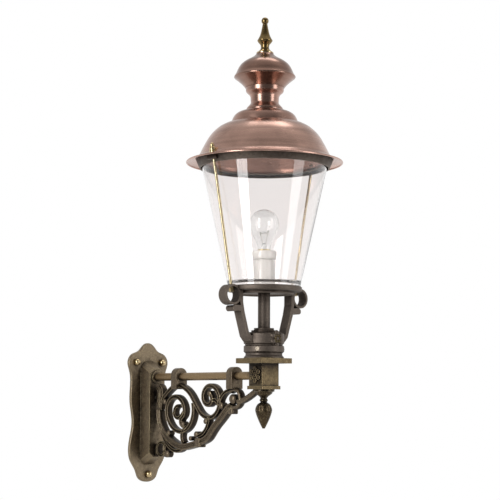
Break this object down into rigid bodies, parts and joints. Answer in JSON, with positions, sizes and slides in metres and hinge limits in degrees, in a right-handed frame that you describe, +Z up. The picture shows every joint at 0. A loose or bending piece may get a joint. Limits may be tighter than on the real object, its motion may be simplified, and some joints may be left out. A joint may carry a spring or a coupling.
{
  "type": "outdoor wall light",
  "caption": "Cast wall bracket with scrollwork and an arm that carries a tapered glass lantern under a stepped spun copper roof with a finial.",
  "frame": {"origin": "on the wall plane, the wall plate's back face, at the arm tube's axis", "axes": "+X out of the wall along the arm, +Z up, Y = 0 is the mirror plane"},
  "size_m": [0.557, 0.324, 0.975],
  "materials": {
    "cast_bronze": "antique bronze, satin, worn lighter on edges",
    "dark_bronze": "dark antique bronze, satin",
    "copper": "spun copper, satin brushed",
    "polished_brass": "polished brass",
    "steel": "zinc plated steel",
    "clear_glass": "clear glass",
    "lamp_glass": "clear thin lamp glass",
    "porcelain": "white glazed porcelain",
    "socket_brass": "plain brass",
    "black_insulation": "black moulding",
    "seal_rubber": "black rubber",
    "lead_sheath": "black cable sheath"
  },
  "bodies": {
    "bracket": {"wall_plate": "cast_bronze", "plate_nuts": "polished_brass", "terminal_block": "black_insulation", "arm_tube": "cast_bronze", "scroll_bracket": "cast_bronze", "bracket_bolts": "steel", "junction_block": "cast_bronze", "drop_finial": "cast_bronze", "supply_lead": "lead_sheath"},
    "lantern": {"lantern_fork": "dark_bronze", "stem_tube": "dark_bronze", "glass_tray": "dark_bronze", "roof_ring": "dark_bronze", "roof_dome": "copper", "roof_shoulder": "copper", "roof_neck": "copper", "roof_cap": "copper", "cap_washer": "polished_brass", "top_finial": "polished_brass", "tie_rod_left": "polished_brass", "tie_rod_right": "polished_brass", "rod_foot_nuts": "polished_brass", "rod_washers": "polished_brass", "roof_nuts": "polished_brass", "set_screws": "steel", "roof_rod": "steel", "roof_clamp_disc": "steel", "roof_rod_nut": "steel", "socket_contact": "steel", "bulb_contact": "steel", "bulb_filament": "steel", "glass_cone": "clear_glass", "bulb_glass": "lamp_glass", "bulb_mount": "lamp_glass", "lampholder_base": "porcelain", "lampholder_ring": "porcelain", "socket_shell": "socket_brass", "bulb_cap": "socket_brass", "bulb_insulator": "black_insulation", "tray_gasket": "seal_rubber", "ring_gasket": "seal_rubber", "lamp_lead": "lead_sheath"}
  },
  "joints": [
    {"name": "lantern_swivel", "type": "hinge", "parent": "bracket", "child": "lantern", "pos_m": [0.395, 0, 0.035], "axis": [0, 0, 1], "range_deg": [-170, 170]}
  ]
}
